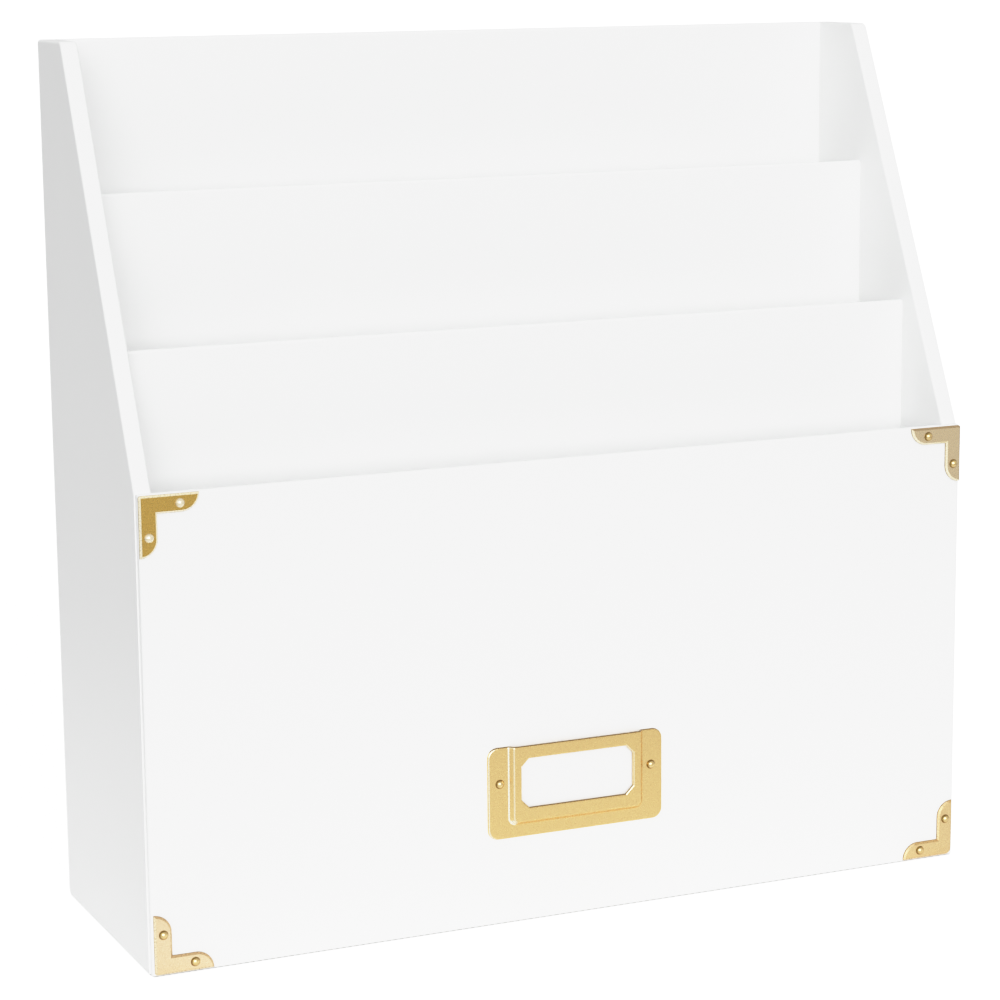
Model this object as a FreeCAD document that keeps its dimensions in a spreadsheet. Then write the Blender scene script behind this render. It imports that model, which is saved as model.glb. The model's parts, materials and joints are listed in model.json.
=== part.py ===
"""Desktop magazine file holder: a white lacquered carcass with brass-coloured hardware.

Seven boards make three upright pockets that step up towards the back. The thin front
board covers the front ends of the two sloping sides, the back board and the base sit
between the sides, and the two thin dividers sit in grooves cut in the sides. Brads under
the lacquer hold the other boards. The front carries four L-shaped corner brackets and a
pressed label holder, all held by domed pins, and the label card lifts out of the holder.

Frame: millimetres, +X to the right of a person facing the front, +Y to the back, +Z up.
The origin is on the ground, below the middle of the whole holder with its hardware.
"""
import FreeCAD, Part
import os
import Sketcher
from FreeCAD import Placement, Rotation, Vector

DIMENSIONS = {
    # Carcass
    "side_thickness": 6.4,
    "back_thickness": 5.0,
    "base_thickness": 6.0,
    "thin_board": 3.0,              # thickness of the front and the dividers
    "width": 330.0,                 # over both sides
    "front_width": 329.2,
    "depth": 104.3,                 # front face of the front board to the rear face
    "height": 323.5,                # sides and back board
    "front_height": 172.7,
    "front_divider_height": 217.5,
    "rear_divider_height": 269.7,
    "side_top": 30.2,               # level stretch at the top of each side
    "groove": 2.0,                  # depth of the divider grooves
    "edge_round": 1.0,              # sanded edges
    "top_corner": 3.0,              # where the slope meets the level top
    "back_corner": 1.5,
    "foot_corner": 3.0,             # lower rear corner of each side
    # Corner brackets
    "bracket_arm": 21.8,
    "bracket_width": 6.5,
    "bracket_sheet": 1.2,
    "bracket_rim": 0.7,             # bevel round the face
    "bracket_corner": 0.8,
    "worn_corner": 2.4,             # the lower right bracket is rounder than the rest
    "upper_side_inset": 0.05,       # upper pair, from the side edge of the front
    "upper_edge_inset": 0.4,        # from the top edge of the front
    "lower_side_inset": 0.7,        # lower pair
    "lower_edge_inset": 1.0,
    "bracket_pin_along": 14.7,      # from the corner
    "bracket_pin_across": 3.3,      # from the outer edge
    # Domed pins
    "pin_head": 3.5,
    "pin_rise": 1.3,
    "pin_shank": 1.3,
    "pin_length": 3.4,              # below the head
    "pin_point": 1.0,
    # Label holder
    "holder_width": 71.3,
    "holder_low": 32.8,             # lower edge, above the ground
    "holder_high": 67.6,            # upper edge
    "holder_corner": 4.0,
    "holder_sheet": 0.8,
    "holder_rise": 1.8,             # step of the raised middle
    "holder_run": 1.4,              # across the slope of that step
    "holder_rim": 0.6,
    "holder_bend": 0.8,
    "hollow_lip": 0.05,             # upright edge left where the hollow meets the middle
    "raised_width": 51.8,           # flat of the raised middle
    "raised_low": 39.1,
    "raised_corner": 1.6,
    "window_width": 45.5,
    "window_low": 44.2,
    "window_high": 62.8,
    "window_corner": 3.0,
    "holder_pin_span": 61.8,
    "holder_pin_height": 53.9,
    # Label card
    "card_width": 51.0,
    "card_low": 39.2,
    "card_high": 66.5,
    "card_sheet": 0.4,
    "card_corner": 4.0,
    # Brads
    "brad_shank": 1.2,
    "brad_head": 1.7,
    "brad_head_deep": 0.6,
    "brad_length": 18.0,
    "brad_point": 1.5,
    "brad_set": 0.5,                # filled and lacquered over
    # Blanks
    "overshoot": 12.0,              # how far a cut or a blank runs past its line
}

# Places worked out from the driving dimensions
RAISED_RISE = "(dims.holder_rise + dims.holder_sheet)"
PROUD = RAISED_RISE
FRONT = f"(({PROUD} - dims.depth) / 2)"
BACK = f"(({PROUD} + dims.depth) / 2)"
HALF = "(dims.width / 2)"
FRONT_HALF = "(dims.front_width / 2)"
INNER_HALF = "(dims.width / 2 - dims.side_thickness)"
POCKET = "((dims.depth - dims.back_thickness - 3 * dims.thin_board) / 3)"
FRONT_DIVIDER_BEHIND = f"(dims.thin_board + {POCKET})"
REAR_DIVIDER_BEHIND = f"(2 * dims.thin_board + 2 * {POCKET})"

HEAD_FORWARD = Rotation(Vector(1, 0, 0), 90)
HEAD_BACKWARD = Rotation(Vector(1, 0, 0), -90)
HEAD_LEFT = Rotation(Vector(0, 1, 0), -90)
HEAD_RIGHT = Rotation(Vector(0, 1, 0), 90)

# Allowances, in millimetres unless noted
SLACK = 0.1             # when an edge is picked by the region it lies in
SAME_LENGTH = 1e-4      # lengths closer than this are the same
NO_LENGTH = 1e-9        # a sketch coordinate smaller than this is on the axis
LEAST_CUT = 1e-3        # mm3 that a cut must take away
STRAIGHT_ALONG = 0.999  # cosine of the angle between an edge and the axis it runs along

document = FreeCAD.newDocument("magazine_file_holder")
nodes = []


def fill_sheet():
    """The driving dimensions, one named cell each."""
    sheet = document.addObject("Spreadsheet::Sheet", "dims")
    for row, (name, value) in enumerate(DIMENSIONS.items(), 1):
        sheet.set(f"A{row}", name)
        sheet.set(f"B{row}", str(value))
        sheet.setAlias(f"B{row}", name)
    document.recompute()
    return sheet


dims = fill_sheet()


def value(expression):
    """The present value of an expression over the sheet."""
    return float(dims.evalExpression(expression.replace("dims.", "")))


def keep(piece, label):
    """Name a finished piece and put it on the list of pieces to write."""
    piece.Label = label
    nodes.append(piece)
    return piece


def new_body(name, x="0", y="0", z="0", rotation=Rotation()):
    """An empty body, placed by expressions."""
    body = document.addObject("PartDesign::Body", name)
    body.Placement = Placement(Vector(), rotation)
    bind(body, {"Placement.Base.x": x, "Placement.Base.y": y, "Placement.Base.z": z})
    return body


def bind(piece, expressions):
    """Tie properties of a piece to expressions over the sheet."""
    for place, expression in expressions.items():
        piece.setExpression(place, expression)


def new_sketch(body, name, plane, lift="0"):
    """A sketch on one of the body's own planes, lifted along that plane's normal."""
    sketch = body.newObject("Sketcher::SketchObject", name)
    origin_plane = next(one for one in body.Origin.OriginFeatures if one.Role == plane)
    sketch.AttachmentSupport = [(origin_plane, "")]
    sketch.MapMode = "FlatFace"
    bind(sketch, {"AttachmentOffset.Base.z": lift})
    return sketch


def bound_distance(sketch, kind, vertex, expression):
    """Hold one coordinate of a vertex at an expression, measured from the origin."""
    size = value(expression)
    if abs(size) < NO_LENGTH:
        axis = -2 if kind == "DistanceX" else -1
        sketch.addConstraint(Sketcher.Constraint("PointOnObject", vertex, 1, axis))
    elif size > 0:
        number = sketch.addConstraint(Sketcher.Constraint(kind, -1, 1, vertex, 1, size))
        sketch.setExpression(f"Constraints[{number}]", expression)
    else:
        number = sketch.addConstraint(Sketcher.Constraint(kind, vertex, 1, -1, 1, -size))
        sketch.setExpression(f"Constraints[{number}]", f"-({expression})")


def outline(sketch, corners, arcs=None):
    """A closed outline through corners, listed anticlockwise.

    arcs maps the number of a side to the radius of the outward arc that replaces it.
    """
    arcs = arcs or {}
    points = [Vector(value(across), value(up), 0) for across, up in corners]
    first = sketch.GeometryCount
    for side, start in enumerate(points):
        end = points[(side + 1) % len(points)]
        if side in arcs:
            sketch.addGeometry(outward_arc(start, end, value(arcs[side])))
        else:
            sketch.addGeometry(Part.LineSegment(start, end))
    for side in range(len(points)):
        following = first + (side + 1) % len(points)
        sketch.addConstraint(Sketcher.Constraint("Coincident", first + side, 2, following, 1))
    for side, (across, up) in enumerate(corners):
        bound_distance(sketch, "DistanceX", first + side, across)
        bound_distance(sketch, "DistanceY", first + side, up)
    for side, radius in arcs.items():
        constraint = Sketcher.Constraint("Radius", first + side, value(radius))
        number = sketch.addConstraint(constraint)
        sketch.setExpression(f"Constraints[{number}]", radius)


def outward_arc(start, end, radius):
    """The anticlockwise arc of a given radius, under half a turn, from start to end."""
    chord = end - start
    to_centre = (radius ** 2 - (chord.Length / 2) ** 2) ** 0.5
    inward = Vector(-chord.y, chord.x, 0).normalize()
    centre = (start + end) * 0.5 + inward * to_centre
    circle = Part.Circle(centre, Vector(0, 0, 1), radius)
    return Part.ArcOfCircle(circle, circle.parameter(start), circle.parameter(end))


def rectangle(sketch, left, low, right, high):
    """A rectangular outline."""
    outline(sketch, [(left, low), (right, low), (right, high), (left, high)])


def hole(sketch, across, up, diameter):
    """A round outline about a point."""
    centre = Vector(value(across), value(up), 0)
    circle = Part.Circle(centre, Vector(0, 0, 1), value(diameter) / 2)
    number = sketch.addGeometry(circle)
    for kind, expression in (("DistanceX", across), ("DistanceY", up)):
        size = value(expression)
        ends = (-1, 1, number, 3) if size > 0 else (number, 3, -1, 1)
        held = sketch.addConstraint(Sketcher.Constraint(kind, *ends, abs(size)))
        sketch.setExpression(f"Constraints[{held}]", expression if size > 0 else f"-({expression})")
    held = sketch.addConstraint(Sketcher.Constraint("Diameter", number, value(diameter)))
    sketch.setExpression(f"Constraints[{held}]", diameter)


def pad(body, sketch, length, name, reverse=False):
    """Raise a sketch into a solid, by default along the sketch's normal."""
    feature = body.newObject("PartDesign::Pad", name)
    feature.Profile = (sketch, [""])
    feature.Reversed = reverse
    bind(feature, {"Length": length})
    document.recompute()
    return feature


def pocket(body, sketch, length, name, reverse=False):
    """Cut a sketch into the solid, by default against the sketch's normal."""
    before = body.Shape.Volume
    feature = body.newObject("PartDesign::Pocket", name)
    feature.Profile = (sketch, [""])
    feature.Reversed = reverse
    bind(feature, {"Length": length})
    document.recompute()
    if body.Shape.Volume > before - LEAST_CUT:
        raise RuntimeError(f"{name} cuts nothing from {body.Name}")
    return feature


def dress(body, kind, name, sizes, wanted):
    """Round or bevel the edges of the body whose middle point passes a test."""
    base = body.Tip
    edges = [
        f"Edge{number}"
        for number, edge in enumerate(base.Shape.Edges, 1)
        if wanted(edge, edge.valueAt((edge.FirstParameter + edge.LastParameter) / 2))
    ]
    feature = body.newObject(f"PartDesign::{kind}", name)
    feature.Base = (base, edges)
    if "Size2" in sizes:
        feature.ChamferType = "Two distances"
    bind(feature, sizes)
    document.recompute()
    return feature


def soften(body, name, radius, wanted):
    """Round the chosen edges."""
    return dress(body, "Fillet", name, {"Radius": radius}, wanted)


def bevel(body, name, size, wanted):
    """Cut the chosen edges at 45 degrees."""
    return dress(body, "Chamfer", name, {"Size": size}, wanted)


def slope(body, name, run, rise, wanted, flip=False):
    """Cut the chosen edges back by the run along the face and by the rise down the wall.

    flip is for edges that belong to the face before they belong to the wall.
    """
    feature = dress(body, "Chamfer", name, {"Size": rise, "Size2": run}, wanted)
    feature.FlipDirection = flip
    document.recompute()
    return feature


def fasteners(label, template, rotation, places):
    """One group of equal fasteners, each a separate solid at its own place."""
    links = []
    for number, (x, y, z) in enumerate(places, 1):
        link = document.addObject("App::Link", f"{label}_{number}")
        link.LinkedObject = template
        link.Placement = Placement(Vector(), rotation)
        bind(link, {"Placement.Base.x": x, "Placement.Base.y": y, "Placement.Base.z": z})
        links.append(link)
    group = document.addObject("Part::Compound", f"{label}_group")
    group.Links = links
    return keep(group, label)


def drilled(label, board, groups):
    """A board with a close-fitting hole for every fastener that is driven into it."""
    driven = document.addObject("Part::Compound", f"{label}_driven")
    driven.Links = groups
    cut = document.addObject("Part::Cut", f"{label}_drilled")
    cut.Base = board
    cut.Tool = driven
    return keep(cut, label)


def domed_pin():
    """The pattern for every pin: a domed head on a pointed shank, head up."""
    body = new_body("domed_pin_pattern")
    sketch = new_sketch(body, "pin_profile", "XZ_Plane")
    corners = [
        ("0", "-dims.pin_length"),
        ("dims.pin_shank / 2", "dims.pin_point - dims.pin_length"),
        ("dims.pin_shank / 2", "0"),
        ("dims.pin_head / 2", "0"),
        ("0", "dims.pin_rise"),
    ]
    dome = "(pow(dims.pin_head / 2; 2) + pow(dims.pin_rise; 2)) / (2 * dims.pin_rise)"
    outline(sketch, corners, {3: dome})
    revolve(body, sketch, "pin_turned")
    return body


def brad():
    """The pattern for every brad: a small flat head on a pointed shank, head up."""
    body = new_body("brad_pattern")
    sketch = new_sketch(body, "brad_profile", "XZ_Plane")
    corners = [
        ("0", "-dims.brad_length"),
        ("dims.brad_shank / 2", "dims.brad_point - dims.brad_length"),
        ("dims.brad_shank / 2", "-dims.brad_head_deep"),
        ("dims.brad_head / 2", "-dims.brad_head_deep"),
        ("dims.brad_head / 2", "0"),
        ("0", "0"),
    ]
    outline(sketch, corners)
    revolve(body, sketch, "brad_turned")
    return body


def revolve(body, sketch, name):
    """Turn a half profile once round the upright axis."""
    feature = body.newObject("PartDesign::Revolution", name)
    feature.Profile = (sketch, [""])
    feature.ReferenceAxis = (sketch, ["V_Axis"])
    feature.Angle = 360
    document.recompute()
    return feature


def along(edge, axis):
    """Whether an edge runs straight along an axis."""
    straight = edge.Curve.TypeId == "Part::GeomLine"
    return straight and abs(edge.tangentAt(edge.FirstParameter).dot(axis)) > STRAIGHT_ALONG


ALONG_X = Vector(1, 0, 0)
ALONG_Y = Vector(0, 1, 0)


def near(first, second):
    """Whether two lengths are the same."""
    return abs(first - second) < SAME_LENGTH


def upright_board(name, behind, thickness, half_width, low, high):
    """A board across the holder, standing some way behind the front face."""
    body = new_body(name, y=f"{FRONT} + {behind}")
    sketch = new_sketch(body, f"{name}_outline", "XZ_Plane")
    rectangle(sketch, f"-{half_width}", low, half_width, high)
    pad(body, sketch, thickness, f"{name}_sawn", reverse=True)
    top = value(high)

    def upper(edge, mid):
        return along(edge, ALONG_X) and near(mid.z, top)

    soften(body, f"{name}_sanded", "dims.edge_round", upper)
    return body


def front_board():
    """The front: its face and its free edges are sanded round."""
    body = new_body("front_board", y=FRONT)
    sketch = new_sketch(body, "front_outline", "XZ_Plane")
    rectangle(sketch, f"-{FRONT_HALF}", "0", FRONT_HALF, "dims.front_height")
    pad(body, sketch, "dims.thin_board", "front_sawn", reverse=True)
    top = value("dims.front_height")

    def free(edge, mid):
        return near(mid.y, 0) or along(edge, ALONG_Y) or (near(mid.z, top) and along(edge, ALONG_X))

    soften(body, "front_sanded", "dims.edge_round", free)
    return body


def side_board(name, x, inner, reverse):
    """One sloping side, with its outline drawn from the holder's front face backwards.

    inner is how far the inner face lies from the outline's plane, and reverse says that
    the grooves are cut away from that plane.
    """
    body = new_body(name, x=x, y=FRONT)
    sketch = new_sketch(body, f"{name}_outline", "YZ_Plane")
    slope_end = "dims.depth - dims.side_top"
    corners = [
        ("dims.thin_board", "0"),
        ("dims.depth", "0"),
        ("dims.depth", "dims.height"),
        (slope_end, "dims.height"),
        ("dims.thin_board", "dims.front_height"),
    ]
    outline(sketch, corners)
    pad(body, sketch, "dims.side_thickness", f"{name}_sawn")
    for corner, across, up, radius in (
        ("top_corner", slope_end, "dims.height", "dims.top_corner"),
        ("back_corner", "dims.depth", "dims.height", "dims.back_corner"),
        ("foot_corner", "dims.depth", "0", "dims.foot_corner"),
    ):
        place = (value(across), value(up))
        soften(
            body, f"{name}_{corner}", radius,
            lambda edge, mid: along(edge, ALONG_X) and near(mid.y, place[0]) and near(mid.z, place[1]),
        )
    top = value("dims.height")
    soften(body, f"{name}_sanded", "dims.edge_round", lambda edge, mid: near(mid.z, top))
    for groove, behind, high in (
        ("front_groove", FRONT_DIVIDER_BEHIND, "dims.front_divider_height"),
        ("rear_groove", REAR_DIVIDER_BEHIND, "dims.rear_divider_height"),
    ):
        slot = new_sketch(body, f"{name}_{groove}_outline", "YZ_Plane", lift=inner)
        rectangle(slot, behind, "dims.base_thickness", f"{behind} + dims.thin_board", high)
        pocket(body, slot, "dims.groove", f"{name}_{groove}", reverse=reverse)
    return body


def base_board():
    """The floor of the pockets, between the front, the back and the sides."""
    body = new_body("base_board", y=f"{FRONT} + dims.thin_board")
    sketch = new_sketch(body, "base_outline", "XY_Plane")
    rear = "dims.depth - dims.back_thickness - dims.thin_board"
    rectangle(sketch, f"-{INNER_HALF}", "0", INNER_HALF, rear)
    pad(body, sketch, "dims.base_thickness", "base_sawn")
    return body


def corner_bracket(label, x, z, turn, rounding):
    """An L-shaped plate with two rounded arms, turned about its own rounded corner."""
    body = new_body(label, x=x, y=FRONT, z=z, rotation=Rotation(Vector(0, 1, 0), turn))
    sketch = new_sketch(body, f"{label}_outline", "XZ_Plane")
    arm_end = "dims.bracket_arm - dims.bracket_width"
    corners = [
        ("0", "0"),
        ("dims.bracket_arm", "0"),
        (arm_end, "dims.bracket_width"),
        ("dims.bracket_width", "dims.bracket_width"),
        ("dims.bracket_width", arm_end),
        ("0", "dims.bracket_arm"),
    ]
    outline(sketch, corners, {1: "dims.bracket_width", 4: "dims.bracket_width"})
    pad(body, sketch, "dims.bracket_sheet", f"{label}_blank")
    face = -value("dims.bracket_sheet")

    def corner(edge, mid):
        return along(edge, ALONG_Y) and near(mid.x, 0) and near(mid.z, 0)

    soften(body, f"{label}_corner", rounding, corner)
    bevel(body, f"{label}_rim", "dims.bracket_rim", lambda edge, mid: near(mid.y, face))
    holes = new_sketch(body, f"{label}_holes", "XZ_Plane")
    hole(holes, "dims.bracket_pin_along", "dims.bracket_pin_across", "dims.pin_shank")
    hole(holes, "dims.bracket_pin_across", "dims.bracket_pin_along", "dims.pin_shank")
    pocket(body, holes, "dims.bracket_sheet", f"{label}_punched", reverse=True)
    return keep(body, label)


def round_footed(sketch, half, low, high, radius):
    """An upright outline with its two lower corners rounded."""
    corners = [
        (f"{radius} - {half}", low),
        (f"{half} - {radius}", low),
        (half, f"{low} + {radius}"),
        (half, high),
        (f"-{half}", high),
        (f"-{half}", f"{low} + {radius}"),
    ]
    outline(sketch, corners, {1: radius, 5: radius})


def label_holder():
    """A pressed plate: a flat rim, a raised middle that is open at the top, and a window."""
    body = new_body("label_holder", y=FRONT)
    top = value("dims.holder_high")
    rim_face = -value("dims.holder_sheet")
    raised_face = -value(RAISED_RISE)
    above = "(dims.holder_high + dims.overshoot)"
    foot_half = "(dims.raised_width / 2 + dims.holder_run)"
    foot_low = "(dims.raised_low - dims.holder_run)"

    raised = new_sketch(body, "raised_outline", "XZ_Plane")
    round_footed(raised, foot_half, foot_low, above, "(dims.raised_corner + dims.holder_run)")
    pad(body, raised, RAISED_RISE, "raised_middle")
    slope(
        body, "raised_slopes", "dims.holder_run", "dims.holder_rise",
        lambda edge, mid: near(mid.y, raised_face),
    )

    flat = new_sketch(body, "rim_outline", "XZ_Plane")
    holder_half = "dims.holder_width / 2"
    rectangle(flat, f"-{holder_half}", "dims.holder_low", holder_half, "dims.holder_high")
    pad(body, flat, "dims.holder_sheet", "rim_blank")

    over = new_sketch(body, "top_outline", "XZ_Plane")
    rectangle(over, "-dims.holder_width", "dims.holder_high", "dims.holder_width", f"2 * {above}")
    pocket(body, over, "dims.overshoot", "top_trimmed", reverse=True)

    bend_loss = "(dims.holder_sheet * tan(atan(dims.holder_rise / dims.holder_run) / 2))"
    hollow = new_sketch(body, "hollow_outline", "XZ_Plane")
    round_footed(
        hollow, f"(dims.raised_width / 2 - {bend_loss})", f"(dims.raised_low + {bend_loss})",
        above, f"(dims.raised_corner - {bend_loss})",
    )
    pocket(body, hollow, "dims.holder_rise", "hollow_middle", reverse=True)

    def hollow_foot(edge, mid):
        inside = abs(mid.x) < value(foot_half)
        return near(mid.y, 0) and inside and value(foot_low) < mid.z < top - SLACK

    depth_cut = "(dims.holder_rise - dims.hollow_lip)"
    width_cut = f"({depth_cut} * dims.holder_run / dims.holder_rise)"
    slope(body, "hollow_slopes", width_cut, depth_cut, hollow_foot, flip=True)

    def rim_corner(edge, mid):
        return along(edge, ALONG_Y) and near(abs(mid.x), value(holder_half))

    soften(body, "rim_corners", "dims.holder_corner", rim_corner)

    window_half = "(dims.window_width / 2)"
    level_half = f"({window_half} - dims.window_corner)"
    lower = "dims.window_low + dims.window_corner"
    upper = "dims.window_high - dims.window_corner"
    window = new_sketch(body, "window_outline", "XZ_Plane")
    window_corners = [
        (f"-{level_half}", "dims.window_low"),
        (level_half, "dims.window_low"),
        (window_half, lower),
        (window_half, upper),
        (level_half, "dims.window_high"),
        (f"-{level_half}", "dims.window_high"),
        (f"-{window_half}", upper),
        (f"-{window_half}", lower),
    ]
    outline(window, window_corners)
    pocket(body, window, "dims.overshoot", "window_cut", reverse=True)

    def in_window(mid):
        beside = abs(mid.x) < value(window_half) + SLACK
        return beside and value("dims.window_low") - SLACK < mid.z < value("dims.window_high") + SLACK

    def round_middle(mid):
        inside = abs(mid.x) < value(foot_half) + SLACK
        return inside and value(foot_low) - SLACK < mid.z < top - SLACK

    def bend(edge, mid):
        on_face = near(mid.y, rim_face) or near(mid.y, raised_face)
        return on_face and round_middle(mid) and not in_window(mid)

    def rim(edge, mid):
        outer = near(mid.y, rim_face) and not round_middle(mid)
        return outer or (near(mid.y, raised_face) and in_window(mid))

    soften(body, "pressed_bends", "dims.holder_bend", bend)
    soften(body, "rim_rounded", "dims.holder_rim", rim)

    holes = new_sketch(body, "holder_holes", "XZ_Plane")
    hole(holes, "dims.holder_pin_span / 2", "dims.holder_pin_height", "dims.pin_shank")
    hole(holes, "-dims.holder_pin_span / 2", "dims.holder_pin_height", "dims.pin_shank")
    pocket(body, holes, "dims.holder_sheet", "holder_punched", reverse=True)
    return keep(body, "label_holder")


def label_card():
    """The blank card, upright in the middle of the holder's hollow."""
    body = new_body("label_card", y=FRONT)
    lift = "(dims.holder_rise - dims.card_sheet) / 2"
    sketch = new_sketch(body, "card_outline", "XZ_Plane", lift=lift)
    card_half = "dims.card_width / 2"
    rectangle(sketch, f"-{card_half}", "dims.card_low", card_half, "dims.card_high")
    pad(body, sketch, "dims.card_sheet", "card_cut")
    soften(body, "card_corners", "dims.card_corner", lambda edge, mid: along(edge, ALONG_Y))
    return keep(body, "label_card")


def spread(length, parts):
    """Places at given parts of a length."""
    return [f"{length} * {part}" for part in parts]


def bracket_pin_places(x, z, corner):
    """The two pins of the bracket at one corner of the front."""
    inward = "-" if "right" in corner else "+"
    onward = "-" if "top" in corner else "+"
    far = "dims.bracket_pin_along"
    close = "dims.bracket_pin_across"
    return [
        (f"{x} {inward} {across}", f"{FRONT} - dims.bracket_sheet", f"{z} {onward} {up}")
        for across, up in ((far, close), (close, far))
    ]


def side_brad_places(x):
    """Brads driven through one side into the back and the base."""
    in_back = [
        (x, f"{BACK} - dims.back_thickness / 2", z)
        for z in spread("dims.height", (0.1, 0.35, 0.6, 0.85))
    ]
    in_base = [
        (x, f"{FRONT} + {y}", "dims.base_thickness / 2")
        for y in spread("dims.depth", (0.25, 0.5, 0.75))
    ]
    return in_back + in_base


def make_hardware(pin):
    """The brackets, the label holder, its card and all the domed pins."""
    pins = []
    low_half = f"({FRONT_HALF} - dims.lower_side_inset)"
    high_half = f"({FRONT_HALF} - dims.upper_side_inset)"
    low = "dims.lower_edge_inset"
    high = "dims.front_height - dims.upper_edge_inset"
    corners = {
        "bottom_left": (f"-{low_half}", low, 0, "dims.bracket_corner"),
        "bottom_right": (low_half, low, -90, "dims.worn_corner"),
        "top_right": (high_half, high, 180, "dims.bracket_corner"),
        "top_left": (f"-{high_half}", high, 90, "dims.bracket_corner"),
    }
    for corner, (x, z, turn, rounding) in corners.items():
        corner_bracket(f"corner_bracket_{corner}", x, z, turn, rounding)
        places = bracket_pin_places(x, z, corner)
        pins.append(fasteners(f"bracket_pins_{corner}", pin, HEAD_FORWARD, places))
    label_holder()
    label_card()
    places = [
        (x, f"{FRONT} - dims.holder_sheet", "dims.holder_pin_height")
        for x in ("-dims.holder_pin_span / 2", "dims.holder_pin_span / 2")
    ]
    pins.append(fasteners("label_holder_pins", pin, HEAD_FORWARD, places))
    return pins


def make_brads(nail):
    """The six rows of brads, by name."""
    rows = {}
    set_back = f"{FRONT} + dims.brad_set"
    base_row = spread("dims.width", (-0.375, -0.125, 0.125, 0.375))
    for side, sign, rotation in (("left", "-", HEAD_LEFT), ("right", "", HEAD_RIGHT)):
        edge = f"{sign}({HALF} - dims.side_thickness / 2)"
        places = [(edge, set_back, z) for z in spread("dims.front_height", (0.25, 0.5, 0.75))]
        rows[f"front_{side}"] = fasteners(f"front_brads_{side}", nail, HEAD_FORWARD, places)
        places = side_brad_places(f"{sign}({HALF} - dims.brad_set)")
        rows[f"side_{side}"] = fasteners(f"side_brads_{side}", nail, rotation, places)
    places = [(x, set_back, "dims.base_thickness / 2") for x in base_row]
    rows["front_base"] = fasteners("front_brads_base", nail, HEAD_FORWARD, places)
    places = [(x, f"{BACK} - dims.brad_set", "dims.base_thickness / 2") for x in base_row]
    rows["back_base"] = fasteners("back_brads_base", nail, HEAD_BACKWARD, places)
    return rows


def make_dividers():
    """The two dividers, which stand on the base with their ends in the grooves."""
    grooved_half = f"({INNER_HALF} + dims.groove)"
    for label, behind, high in (
        ("front_divider", FRONT_DIVIDER_BEHIND, "dims.front_divider_height"),
        ("rear_divider", REAR_DIVIDER_BEHIND, "dims.rear_divider_height"),
    ):
        board = upright_board(
            f"{label}_board", behind, "dims.thin_board", grooved_half, "dims.base_thickness", high,
        )
        keep(board, label)


def make_carcass(pins, rows):
    """The five outer boards, each with holes for what is driven into it."""
    back_behind = "dims.depth - dims.back_thickness"
    back_board = upright_board(
        "back_board", back_behind, "dims.back_thickness", INNER_HALF, "0", "dims.height",
    )
    boards = {
        "front_panel": (
            front_board(),
            pins + [rows["front_left"], rows["front_right"], rows["front_base"]],
        ),
        "side_panel_left": (
            side_board("left_board", f"-{HALF}", "dims.side_thickness", reverse=False),
            [rows["front_left"], rows["side_left"]],
        ),
        "side_panel_right": (
            side_board("right_board", INNER_HALF, "0", reverse=True),
            [rows["front_right"], rows["side_right"]],
        ),
        "back_panel": (
            back_board,
            [rows["side_left"], rows["side_right"], rows["back_base"]],
        ),
        "base_panel": (
            base_board(),
            [rows["side_left"], rows["side_right"], rows["front_base"], rows["back_base"]],
        ),
    }
    for label, (board, driven) in boards.items():
        drilled(label, board, driven)


def check_and_write():
    """Stop if anything failed, then write each piece to its own file."""
    document.recompute()
    for piece in document.Objects:
        if "Invalid" in piece.State or "Error" in piece.State:
            raise RuntimeError(f"{piece.Name} failed: {piece.State}")
    for piece in nodes:
        shape = piece.Shape
        if shape.isNull() or not shape.isValid() or not shape.Solids:
            raise RuntimeError(f"{piece.Label} has no valid solid")
    os.makedirs("parts", exist_ok=True)
    for piece in nodes:
        piece.Shape.exportStep(f"parts/{piece.Label}.step")
        print(f"{piece.Label}: {len(piece.Shape.Solids)} solid(s), {piece.Shape.Volume:.1f} mm3")


def main():
    """Make every piece, check it and write it."""
    pins = make_hardware(domed_pin())
    rows = make_brads(brad())
    make_carcass(pins, rows)
    make_dividers()
    check_and_write()


main()
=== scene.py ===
"""Looks for a white lacquered magazine file holder with brass-coloured hardware.

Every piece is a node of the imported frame, dressed in a procedural material. The script adds
the camera, the lights, the floor and the tone curve.
"""

import json
import math

import bpy
from mathutils import Matrix, Vector


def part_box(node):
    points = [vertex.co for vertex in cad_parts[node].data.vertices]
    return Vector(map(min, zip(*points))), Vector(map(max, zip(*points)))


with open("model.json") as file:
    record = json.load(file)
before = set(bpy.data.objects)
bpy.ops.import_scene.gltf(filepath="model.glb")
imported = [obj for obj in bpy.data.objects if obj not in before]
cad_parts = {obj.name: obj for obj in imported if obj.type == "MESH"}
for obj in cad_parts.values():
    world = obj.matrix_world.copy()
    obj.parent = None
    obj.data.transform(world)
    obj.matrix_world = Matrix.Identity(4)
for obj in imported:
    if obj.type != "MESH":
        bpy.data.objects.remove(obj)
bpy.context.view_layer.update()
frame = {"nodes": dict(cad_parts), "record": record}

NODES = frame["nodes"]
FRONT_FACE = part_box("front_panel")[0].y
HOLDER_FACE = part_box("label_holder")[0].y       # the raised middle of the label holder

# Camera, in the row frame
CAMERA_PLACE = Vector((-0.4568, -1.0094, 0.3573))
CAMERA_YAW = math.radians(24.031)
CAMERA_PITCH = math.radians(-10.675)
CAMERA_ROLL = math.radians(-0.553)
CAMERA_LENS = 106.94
SENSOR = 36.0
CAMERA_REACH = 100

# Light
SUNS = {                # azimuth and elevation in degrees, strength, spread in degrees
    "key": (-15, 12, 2.5, 50),
    "left_fill": (-60, 20, 0.27, 50),
}
SKY = 0.72

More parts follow.
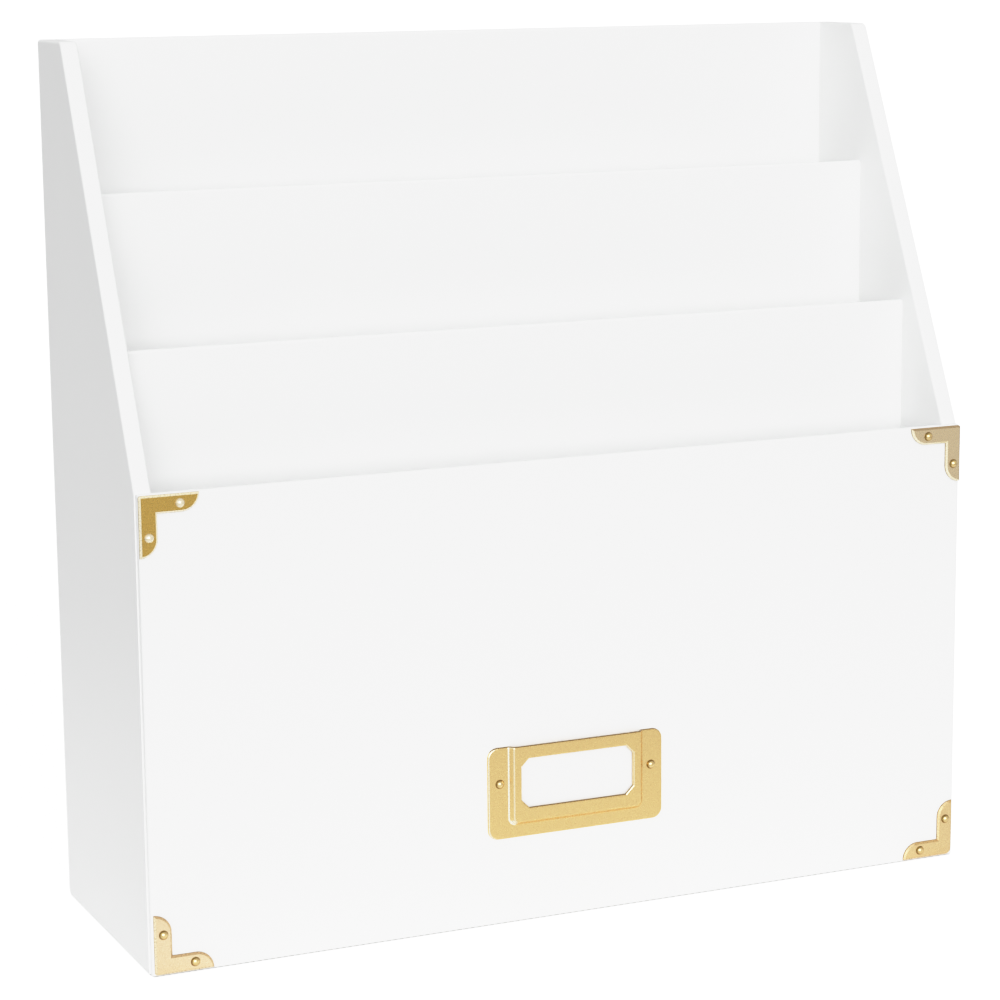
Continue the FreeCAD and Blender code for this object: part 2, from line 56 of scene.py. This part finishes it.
# Floor
FLOOR_HALF = 40.0
FLOOR_GLOW = 1.3        # given off towards the camera only
PAPER_EDGE = 0.44       # how far the pale paper reaches from the holder
PAPER_FADE = 0.2
PAPER = 0.92            # how much light the paper sends back, and how much beyond it
PAPER_MIRRORED = 0.95   # the same as the brass and the gloss see it
BEYOND_PAPER = 0.18
BEYOND_PAPER_MIRRORED = 0.56

# Tone
WHITE = 2.0             # the backdrop, and the light that comes out white
TONES = (               # light in, light out
    (0.3, 0.3), (0.6, 0.6), (0.7, 0.685), (0.8, 0.755), (0.9, 0.812), (1.0, 0.864),
    (1.1, 0.897), (1.2, 0.912), (1.3, 0.922), (1.4, 0.936), (1.6, 0.965), (1.8, 0.99), (2.0, 1.0),
)

# Lacquer
LACQUER_TONES = ((0.945, 0.95, 0.946), (0.96, 0.965, 0.961))
LACQUER_IOR = 1.5
# Painted contact shadow: grey along the lowest edge of the boards
PAINTED_CONTACT_SHADOW = (0.42, 0.42, 0.41)
PAINTED_CONTACT_SHADOW_HEIGHTS = (0.0009, 0.0004)    # above the ground: where the painted contact shadow starts and is full
FACING_DOWN = (-0.95, -0.8)         # the underside gets no painted contact shadow

# Brass, per piece: the face, dark and light in its speckle, partly plating that varies from
# piece to piece and partly painted light, darkest at the top left; the bevels' painted highlight;
# the painted shade on bevels that turn up or to the right (a painted highlight at the top left);
# and how metallic the bevels are, lower where their painted highlight has to read bright
PLATE_TONES = {
    "corner_bracket_top_left": (
        (0.53, 0.33, 0.06), (0.88, 0.59, 0.18), (0.98, 0.87, 0.62), (0.98, 0.84, 0.54), 0.35,
    ),
    "corner_bracket_top_right": (
        (0.95, 0.76, 0.47), (1.0, 0.80, 0.52), (1.0, 0.88, 0.60), (0.40, 0.28, 0.15), 0.4,
    ),
    "corner_bracket_bottom_left": (
        (0.96, 0.72, 0.44), (0.99, 0.76, 0.47), (1.0, 0.80, 0.50), (0.64, 0.43, 0.22), 0.65,
    ),
    "corner_bracket_bottom_right": (
        (0.85, 0.61, 0.31), (0.89, 0.65, 0.33), (1.0, 0.71, 0.37), (0.64, 0.42, 0.18), 0.65,
    ),
}
BRACKET_SPECKLE = 2400.0
PAINTED_EDGE_SHADE = (0.22, 0.14, 0.05)        # painted shade on side walls, along creases, and on the holder's upward faces
BEVEL_TURN = (0.06, 0.14)           # how far a bevel turns from the face, from none to all
WALL_TURN = (0.75, 0.9)
RISING_SHARE = 0.6                  # how much turning up counts beside turning right
TURNED_AWAY = (0.1, 0.3)
CREASE = 0.0004                     # how far the painted shade along a sharp edge reaches
CREASE_SHADE_STRENGTH = 0.25
CREASE_BEND = (0.999, 0.96)         # agreement of the true and the rounded normal

# Label holder
HOLDER_TONES = ((0.84, 0.59, 0.25), (0.89, 0.63, 0.27))
HOLDER_SPECKLE = 3200.0
PAINTED_BEND_HIGHLIGHT = (1.0, 0.94, 0.76)        # painted highlight on the bends
PAINTED_BEND_HIGHLIGHT_METAL = 0.6
BEND_STARTS = (-0.05, -0.14)        # how squarely a bend faces right: it faces left
BEND_ENDS = (-0.66, -0.76)
FACING_UP = (0.45, 0.75)
SHEET = 0.0008                      # thickness of the pressed sheet
CREST = 0.00045                     # depth of the upper bends below the raised middle
BEND_BLUR = 0.0001
BEND_HIGHLIGHT_KEPT = 0.45                         # share of the bends' painted highlight left on the outer edge and the upper bends

# Pins
PIN_TONES = ((0.80, 0.57, 0.24), (0.90, 0.68, 0.34))
# painted shade towards the rim of each dome
PIN_RING_SHADE = (0.26, 0.17, 0.05)
RING_TURN = (0.1, 0.5)
PIN_PAINTED_HIGHLIGHT = (1.0, 0.92, 0.70)        # painted highlight on the two pins at the top left
PALE_LEFT_OF = (-0.12, -0.13)
PALE_ABOVE = (0.12, 0.13)
PALE_SHARE = 0.75
PALE_METAL = 0.6


def add_camera():
    """A camera that looks at the holder from its left front, slightly from above."""
    data = bpy.data.cameras.new("camera")
    data.lens = CAMERA_LENS
    data.sensor_width = SENSOR
    data.clip_end = CAMERA_REACH
    camera = bpy.data.objects.new("camera", data)
    forward = Vector((
        math.sin(CAMERA_YAW) * math.cos(CAMERA_PITCH),
        math.cos(CAMERA_YAW) * math.cos(CAMERA_PITCH),
        math.sin(CAMERA_PITCH),
    ))
    level = forward.cross(Vector((0, 0, 1))).normalized()
    upright = level.cross(forward)
    right = math.cos(CAMERA_ROLL) * level + math.sin(CAMERA_ROLL) * upright
    up = right.cross(forward)
    turn = Matrix((right, up, -forward)).transposed().to_4x4()
    camera.matrix_world = Matrix.Translation(CAMERA_PLACE) @ turn
    bpy.context.scene.collection.objects.link(camera)
    bpy.context.scene.camera = camera


class Shader:
    """A node material with one Principled shader."""

    def __init__(self, name):
        self.material = bpy.data.materials.new(name)
        self.material.use_nodes = True
        self.tree = self.material.node_tree
        self.tree.nodes.clear()
        self.output = self.add("ShaderNodeOutputMaterial")
        self.shader = self.add("ShaderNodeBsdfPrincipled")
        self.link(self.shader.outputs["BSDF"], self.output.inputs["Surface"])
        coordinates = self.add("ShaderNodeTexCoord")
        self.place = coordinates.outputs["Object"]
        self.surface = coordinates.outputs["Normal"]

    def add(self, kind, **settings):
        """A new node with some of its settings changed."""
        node = self.tree.nodes.new(kind)
        for name, setting in settings.items():
            setattr(node, name, setting)
        return node

    def link(self, source, target):
        """Feed one socket from another."""
        self.tree.links.new(source, target)

    def feed(self, name, source):
        """Feed an input of the Principled shader."""
        self.link(source, self.shader.inputs[name])

    def fix(self, name, value):
        """Hold an input of the Principled shader at one value."""
        self.shader.inputs[name].default_value = value

    def noise(self, scale, detail=2.0, roughness=0.5):
        """Noise from 0 to 1, with scale waves to a metre."""
        node = self.add("ShaderNodeTexNoise")
        node.inputs["Scale"].default_value = scale
        node.inputs["Detail"].default_value = detail
        node.inputs["Roughness"].default_value = roughness
        self.link(self.place, node.inputs["Vector"])
        return node.outputs["Fac"]

    def ramp(self, factor, low, high):
        """The factor's 0 to 1 stretched from low to high."""
        node = self.add("ShaderNodeMapRange")
        node.inputs["To Min"].default_value = low
        node.inputs["To Max"].default_value = high
        self.link(factor, node.inputs["Value"])
        return node.outputs["Result"]

    def between(self, factor, low, high):
        """0 short of low, 1 past high, smooth in between."""
        node = self.add("ShaderNodeMapRange", interpolation_type="SMOOTHSTEP")
        node.inputs["From Min"].default_value = low
        node.inputs["From Max"].default_value = high
        self.link(factor, node.inputs["Value"])
        return node.outputs["Result"]

    def mix(self, factor, first, second):
        """The first colour where the factor is 0, the second where it is 1.

        Each colour is three numbers or a socket.
        """
        node = self.add("ShaderNodeMix", data_type="RGBA")
        for name, colour in (("A", first), ("B", second)):
            if isinstance(colour, tuple):
                node.inputs[name].default_value = (*colour, 1)
            else:
                self.link(colour, node.inputs[name])
        self.link(factor, node.inputs["Factor"])
        return node.outputs["Result"]

    def arithmetic(self, operation, first, second):
        """An operation on a socket and either another socket or a number."""
        node = self.add("ShaderNodeMath", operation=operation)
        self.link(first, node.inputs[0])
        if isinstance(second, float):
            node.inputs[1].default_value = second
        else:
            self.link(second, node.inputs[1])
        return node.outputs["Value"]

    def bump(self, height, distance, strength):
        """Fine relief."""
        node = self.add("ShaderNodeBump")
        node.inputs["Distance"].default_value = distance
        node.inputs["Strength"].default_value = strength
        self.link(height, node.inputs["Height"])
        return node.outputs["Normal"]

    def component(self, vector, axis):
        """One component of a vector."""
        node = self.add("ShaderNodeSeparateXYZ")
        self.link(vector, node.inputs["Vector"])
        return node.outputs[axis]

    def facing(self, axis):
        """How squarely the surface faces along an axis, -1 to 1."""
        return self.component(self.surface, axis)

    def along(self, axis):
        """Where the surface is along an axis, in metres."""
        return self.component(self.place, axis)

    def turned(self):
        """How far the surface turns away from the front or the back, 0 to 1."""
        squarely = self.arithmetic("ABSOLUTE", self.facing("Y"), 0.0)
        return self.ramp(squarely, 1.0, 0.0)

    def crease(self):
        """1 close to a sharp edge, 0 elsewhere."""
        rounded = self.add("ShaderNodeBevel", samples=4)
        rounded.inputs["Radius"].default_value = CREASE
        plain = self.add("ShaderNodeNewGeometry")
        agreement = self.add("ShaderNodeVectorMath", operation="DOT_PRODUCT")
        self.link(rounded.outputs["Normal"], agreement.inputs[0])
        self.link(plain.outputs["Normal"], agreement.inputs[1])
        return self.between(agreement.outputs["Value"], *CREASE_BEND)


def lacquer():
    """White paint with a little orange peel, and a painted grey contact shadow where it meets the desk.
    """
    look = Shader("white_lacquer")
    paint = look.mix(look.noise(scale=9.0, detail=3.0), *LACQUER_TONES)
    # Painted contact shadow along the ground, kept off faces that turn down
    upright = look.between(look.facing("Z"), *FACING_DOWN)
    low = look.between(look.along("Z"), *PAINTED_CONTACT_SHADOW_HEIGHTS)
    contact_shadow = look.arithmetic("MULTIPLY", low, upright)
    look.feed("Base Color", look.mix(contact_shadow, paint, PAINTED_CONTACT_SHADOW))
    look.feed("Roughness", look.ramp(look.noise(scale=60.0), 0.28, 0.36))
    look.feed("Normal", look.bump(look.noise(scale=900.0), distance=0.00002, strength=0.5))
    look.fix("IOR", LACQUER_IOR)
    return look.material


def satin_brass(name, speckle, dark, light):
    """Speckled plated sheet. Gives back the shader and its colour, to be finished."""
    look = Shader(name)
    look.feed("Roughness", look.ramp(look.noise(scale=1800.0), 0.22, 0.34))
    look.feed("Normal", look.bump(look.noise(scale=3500.0), distance=0.00001, strength=0.5))
    return look, look.mix(look.noise(scale=speckle, detail=3.0, roughness=0.75), dark, light)


def bracket_look(name, dark, light, painted_bevel_highlight, painted_turned_bevel, metallic):
    """Satin faces inside bevels with a painted highlight; painted shade on the side walls, along creases
    and on bevels that turn up or right.
    """
    look, colour = satin_brass(name, BRACKET_SPECKLE, dark, light)
    turned = look.turned()
    bevel = look.between(turned, *BEVEL_TURN)
    wall = look.between(turned, *WALL_TURN)
    crease = look.arithmetic("MULTIPLY", look.crease(), CREASE_SHADE_STRENGTH)
    rising = look.arithmetic("MULTIPLY", look.facing("Z"), RISING_SHARE)
    away = look.between(look.arithmetic("ADD", look.facing("X"), rising), *TURNED_AWAY)
    # Painted highlight on the bevels, and painted shade on bevels that turn up or right
    colour = look.mix(bevel, colour, painted_bevel_highlight)
    colour = look.mix(look.arithmetic("MULTIPLY", bevel, away), colour, painted_turned_bevel)
    # Painted shade on the side walls and along sharp creases
    colour = look.mix(look.arithmetic("MAXIMUM", wall, crease), colour, PAINTED_EDGE_SHADE)
    look.feed("Base Color", colour)
    look.feed("Metallic", look.ramp(bevel, 1.0, metallic))
    return look.material


def holder_look():
    """Satin pressed sheet, with a painted highlight on its left bends and painted shade on its upward
    faces.
    """
    look, colour = satin_brass("plate_label_holder", HOLDER_SPECKLE, *HOLDER_TONES)
    across = look.facing("X")
    started, ended = look.between(across, *BEND_STARTS), look.between(across, *BEND_ENDS)
    flange, crest = FRONT_FACE - SHEET, HOLDER_FACE + CREST
    depth = look.along("Y")
    outer_edge = look.between(depth, flange, flange + BEND_BLUR)
    upper_bend = look.between(depth, crest + BEND_BLUR, crest)
    # Painted highlight on the left-facing bends, weaker on the outer edge and the upper bends
    highlight_share = look.ramp(look.arithmetic("MAXIMUM", outer_edge, upper_bend), 1.0, BEND_HIGHLIGHT_KEPT)
    bend = look.arithmetic("MULTIPLY", look.arithmetic("SUBTRACT", started, ended), highlight_share)
    # Painted shade on faces that turn up
    upward_shade = look.between(look.facing("Z"), *FACING_UP)
    look.feed("Base Color", look.mix(upward_shade, look.mix(bend, colour, PAINTED_BEND_HIGHLIGHT), PAINTED_EDGE_SHADE))
    look.feed("Metallic", look.ramp(bend, 1.0, PAINTED_BEND_HIGHLIGHT_METAL))
    return look.material


def pin_look():
    """Polished domes with painted shade towards their rims and a painted highlight on the two at the top
    left.
    """
    look = Shader("polished_brass")
    colour = look.mix(look.noise(scale=1500.0, detail=3.0), *PIN_TONES)
    # Painted shade towards the rim of the dome
    colour = look.mix(look.between(look.turned(), *RING_TURN), colour, PIN_RING_SHADE)
    # Painted highlight on the two pins at the top left
    left = look.between(look.along("X"), *PALE_LEFT_OF)
    high = look.between(look.along("Z"), *PALE_ABOVE)
    pin_highlight = look.arithmetic("MULTIPLY", look.arithmetic("MULTIPLY", left, high), PALE_SHARE)
    look.feed("Base Color", look.mix(pin_highlight, colour, PIN_PAINTED_HIGHLIGHT))
    look.feed("Metallic", look.ramp(pin_highlight, 1.0, PALE_METAL))
    look.feed("Roughness", look.ramp(look.noise(scale=1800.0), 0.2, 0.28))
    return look.material


def card():
    """Plain white card with a slight tooth."""
    look = Shader("plain_card")
    grain = look.noise(scale=700.0, detail=4.0)
    look.feed("Base Color", look.mix(grain, (0.90, 0.90, 0.89), (0.95, 0.95, 0.94)))
    look.fix("Roughness", 0.8)
    tooth = look.noise(scale=3000.0, detail=4.0)
    look.feed("Normal", look.bump(tooth, distance=0.00002, strength=0.6))
    return look.material


def steel():
    """Bright wire."""
    look = Shader("brad_wire")
    look.fix("Metallic", 1.0)
    look.feed("Base Color", look.mix(look.noise(scale=2000.0), (0.5, 0.5, 0.52), (0.62, 0.62, 0.63)))
    look.fix("Roughness", 0.35)
    return look.material


def dress_nodes():
    """A finished material on every carried-over node."""
    looks = {
        "lacquered_board": lacquer(),
        "brass_pins": pin_look(),
        "card": card(),
        "brad_steel": steel(),
    }
    slots = {part["node"]: part["material_slot"] for part in frame["record"]["subparts"]}
    for name, node in NODES.items():
        if name in PLATE_TONES:
            look = bracket_look(f"plate_{name}", *PLATE_TONES[name])
        elif name == "label_holder":
            look = holder_look()
        else:
            look = looks[slots[name]]
        node.data.materials.clear()
        node.data.materials.append(look)


def add_sun(name, azimuth, elevation, strength, spread):
    """A distant soft light. Azimuth 0 comes from in front, and positive from the right."""
    data = bpy.data.lights.new(name, "SUN")
    data.energy = strength
    data.angle = math.radians(spread)
    lamp = bpy.data.objects.new(name, data)
    turn, tilt = math.radians(azimuth), math.radians(elevation)
    towards = Vector((math.sin(turn) * math.cos(tilt), -math.cos(turn) * math.cos(tilt), math.sin(tilt)))
    lamp.rotation_euler = towards.to_track_quat("Z", "Y").to_euler()
    bpy.context.scene.collection.objects.link(lamp)


def floor_look():
    """Pale to the camera. Its bounce towards the holder fades out beyond the paper."""
    look = Shader("pale_floor")
    look.feed("Base Color", look.mix(look.noise(scale=3.0, detail=3.0), (0.93,) * 3, (0.95,) * 3))
    look.fix("Roughness", 0.8)
    look.fix("Emission Color", (1, 1, 1, 1))
    look.fix("Emission Strength", FLOOR_GLOW)
    away = look.add("ShaderNodeVectorMath", operation="LENGTH")
    look.link(look.place, away.inputs[0])
    fade = look.between(away.outputs["Value"], PAPER_EDGE - PAPER_FADE, PAPER_EDGE + PAPER_FADE)
    path = look.add("ShaderNodeLightPath")
    mirrored = path.outputs["Is Glossy Ray"]
    beyond = look.mix(mirrored, (BEYOND_PAPER,) * 3, (BEYOND_PAPER_MIRRORED,) * 3)
    paper = look.mix(mirrored, (PAPER,) * 3, (PAPER_MIRRORED,) * 3)
    bounce = look.add("ShaderNodeBsdfDiffuse")
    look.link(look.mix(fade, paper, beyond), bounce.inputs["Color"])
    seen = look.add("ShaderNodeMixShader")
    look.link(path.outputs["Is Camera Ray"], seen.inputs[0])
    look.link(bounce.outputs["BSDF"], seen.inputs[1])
    look.link(look.shader.outputs["BSDF"], seen.inputs[2])
    look.link(seen.outputs["Shader"], look.output.inputs["Surface"])
    return look.material


def add_floor():
    """A level plane that reaches out of sight."""
    mesh = bpy.data.meshes.new("floor")
    corners = [
        (x * FLOOR_HALF, y * FLOOR_HALF, 0)
        for x, y in ((-1, -1), (1, -1), (1, 1), (-1, 1))
    ]
    mesh.from_pydata(corners, [], [(0, 1, 2, 3)])
    floor = bpy.data.objects.new("floor", mesh)
    bpy.context.scene.collection.objects.link(floor)
    mesh.materials.append(floor_look())


def set_sky():
    """An even grey light from all round, behind a backdrop that is white to the camera."""
    world = bpy.data.worlds.new("studio")
    world.use_nodes = True
    tree = world.node_tree
    background = tree.nodes["Background"]
    background.inputs["Color"].default_value = (1, 1, 1, 1)
    path = tree.nodes.new("ShaderNodeLightPath")
    strength = tree.nodes.new("ShaderNodeMapRange")
    strength.inputs["To Min"].default_value = SKY
    strength.inputs["To Max"].default_value = WHITE
    tree.links.new(path.outputs["Is Camera Ray"], strength.inputs["Value"])
    tree.links.new(strength.outputs["Result"], background.inputs["Strength"])
    bpy.context.scene.world = world


def set_tone():
    """A film-like curve: darker tones are kept, pale ones are squeezed together."""
    view = bpy.context.scene.view_settings
    view.view_transform = "Standard"
    view.use_curve_mapping = True
    mapping = view.curve_mapping
    mapping.white_level = (WHITE, WHITE, WHITE)
    curve = mapping.curves[3]
    curve.points[0].location = (0, 0)
    curve.points[1].location = (1, 1)
    for given, shown in TONES[:-1]:
        curve.points.new(given / WHITE, shown)
    mapping.update()


def studio():
    """The floor, the sky, the tone curve and the lights."""
    set_sky()
    add_floor()
    set_tone()
    for name, sun in SUNS.items():
        add_sun(name, *sun)


add_camera()
dress_nodes()
studio()
